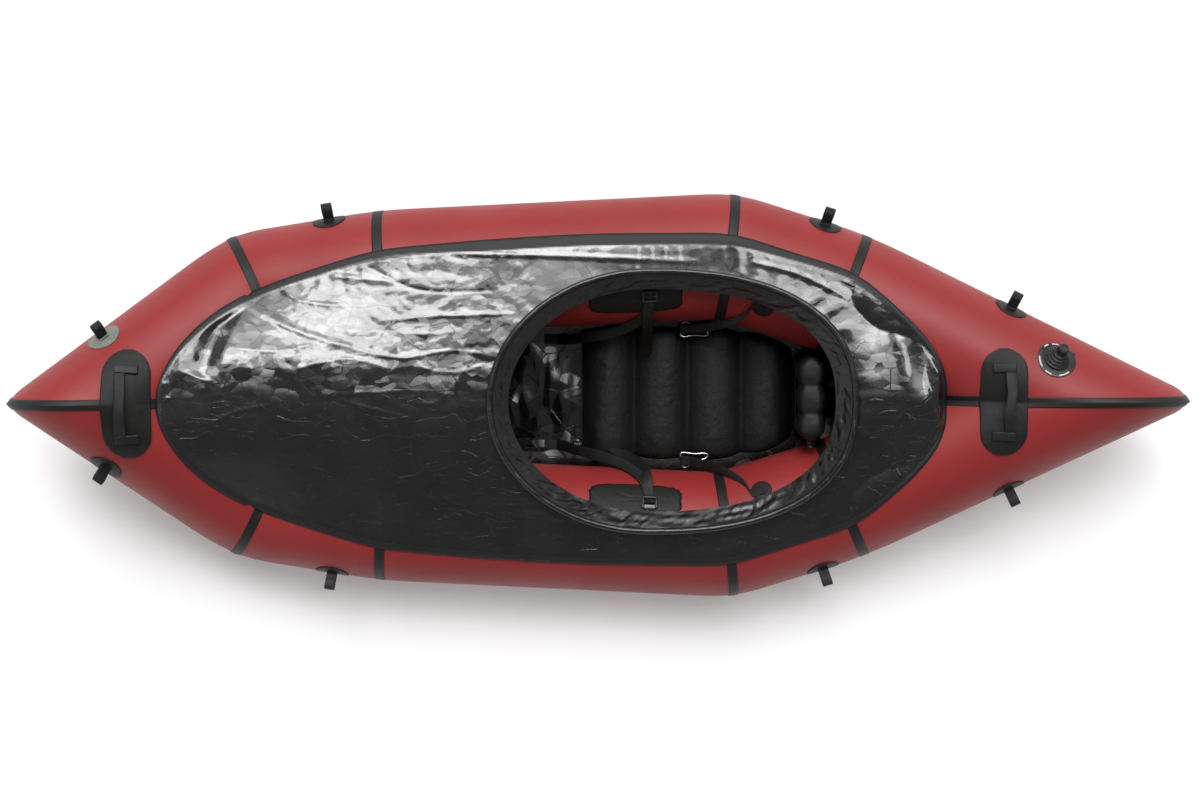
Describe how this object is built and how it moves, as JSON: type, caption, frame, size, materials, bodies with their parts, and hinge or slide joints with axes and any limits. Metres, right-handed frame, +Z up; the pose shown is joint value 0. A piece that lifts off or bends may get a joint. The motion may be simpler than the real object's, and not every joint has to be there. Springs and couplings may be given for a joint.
{
  "type": "packraft",
  "caption": "Decked one-person inflatable packraft with an open cockpit and coaming, inflatable seat and backrest, straps, grab handles, tie-down loops and an inflation valve.",
  "frame": {"origin": "middle of the footprint, on the surface that the raft lies on", "axes": "+X to the stern, +Y to starboard, +Z up"},
  "size_m": [2.6926, 0.961, 0.4774],
  "materials": {
    "tube_fabric": "coated fabric, satin",
    "seam_tape": "matt welded tape",
    "floor_fabric": "glossy coated fabric",
    "deck_fabric": "glossy coated fabric",
    "sleeve_fabric": "coated fabric",
    "hoop_tube": "satin",
    "ferrule_metal": "satin",
    "seat_fabric": "matt",
    "patch_fabric": "matt",
    "webbing": "woven, matt",
    "valve_plastic": "moulded",
    "buckle_plastic": "moulded",
    "spring_steel": "drawn wire"
  },
  "bodies": {
    "hull": {"adjuster_strap_port": "webbing", "adjuster_strap_starboard": "webbing", "centreline_tape_bow": "seam_tape", "centreline_tape_stern": "seam_tape", "coaming_hoop": "hoop_tube", "coaming_sleeve_front": "sleeve_fabric", "coaming_sleeve_rear": "sleeve_fabric", "deck_sheet": "deck_fabric", "floor_bow_rocker": "floor_fabric", "floor_main": "floor_fabric", "floor_stern_rocker": "floor_fabric", "handle_patch_bow": "patch_fabric", "handle_patch_stern": "patch_fabric", "hoop_ferrule": "ferrule_metal", "ladder_lock_port": "buckle_plastic", "ladder_lock_starboard": "buckle_plastic", "rear_strap_port": "webbing", "rear_strap_starboard": "webbing", "seam_tape_1_port": "seam_tape", "seam_tape_1_starboard": "seam_tape", "seam_tape_2_port": "seam_tape", "seam_tape_2_starboard": "seam_tape", "seam_tape_3_port": "seam_tape", "seam_tape_3_starboard": "seam_tape", "seam_tape_4_port": "seam_tape", "seam_tape_4_starboard": "seam_tape", "seat_cushion": "seat_fabric", "strap_anchor_port": "patch_fabric", "strap_anchor_starboard": "patch_fabric", "strap_hook_port": "spring_steel", "strap_hook_starboard": "spring_steel", "tie_down_aft_port": "patch_fabric", "tie_down_aft_starboard": "patch_fabric", "tie_down_bow_port": "patch_fabric", "tie_down_bow_starboard": "patch_fabric", "tie_down_fore_port": "patch_fabric", "tie_down_fore_starboard": "patch_fabric", "tie_down_stern_port": "patch_fabric", "tie_down_stern_starboard": "patch_fabric", "tube_panel_aft_port": "tube_fabric", "tube_panel_aft_starboard": "tube_fabric", "tube_panel_bow_port": "tube_fabric", "tube_panel_bow_starboard": "tube_fabric", "tube_panel_fore_port": "tube_fabric", "tube_panel_fore_starboard": "tube_fabric", "tube_panel_mid_port": "tube_fabric", "tube_panel_mid_starboard": "tube_fabric", "tube_panel_stern_port": "tube_fabric", "tube_panel_stern_starboard": "tube_fabric", "valve_flange": "valve_plastic", "valve_nozzle": "valve_plastic", "valve_spring": "spring_steel"},
    "backrest": {"backrest": "seat_fabric"},
    "backrest_valve": {"backrest_twist_valve": "valve_plastic"},
    "bow_handle": {"grab_handle_bow": "webbing"},
    "stern_handle": {"grab_handle_stern": "webbing"},
    "valve_cap": {"valve_cap": "valve_plastic"},
    "valve_poppet": {"valve_poppet": "valve_plastic"},
    "seat_valve": {"seat_twist_valve": "valve_plastic"}
  },
  "joints": [
    {"name": "backrest_fold", "type": "hinge", "parent": "hull", "child": "backrest", "pos_m": [0.46, 0, 0.096], "axis": [0, -1, 0], "range_deg": [0, 75]},
    {"name": "backrest_valve_twist", "type": "hinge", "parent": "backrest", "child": "backrest_valve", "pos_m": [0.48148, -0.1004, 0.23434], "axis": [0, -1, 0], "range_deg": [0, 90]},
    {"name": "seat_valve_twist", "type": "hinge", "parent": "hull", "child": "seat_valve", "pos_m": [-0.0574, -0.128, 0.0155], "axis": [-1, 0, 0], "range_deg": [0, 90]},
    {"name": "bow_handle_lift", "type": "hinge", "parent": "hull", "child": "bow_handle", "pos_m": [-1.06908, 0, 0.43466], "axis": [0, 1, 0], "range_deg": [0, 80]},
    {"name": "stern_handle_lift", "type": "hinge", "parent": "hull", "child": "stern_handle", "pos_m": [0.90732, 0, 0.36658], "axis": [0, -1, 0], "range_deg": [0, 90]},
    {"name": "valve_cap_pull", "type": "slide", "parent": "hull", "child": "valve_cap", "axis": [0.1194, 0.5248, 0.8428], "range_m": [0, 0.012]},
    {"name": "valve_poppet_press", "type": "slide", "parent": "hull", "child": "valve_poppet", "axis": [-0.1194, -0.5248, -0.8428], "range_m": [0, 0.003], "stiffness_N_per_m": 60, "springref_m": -0.001, "deforming": ["valve_spring"]}
  ]
}
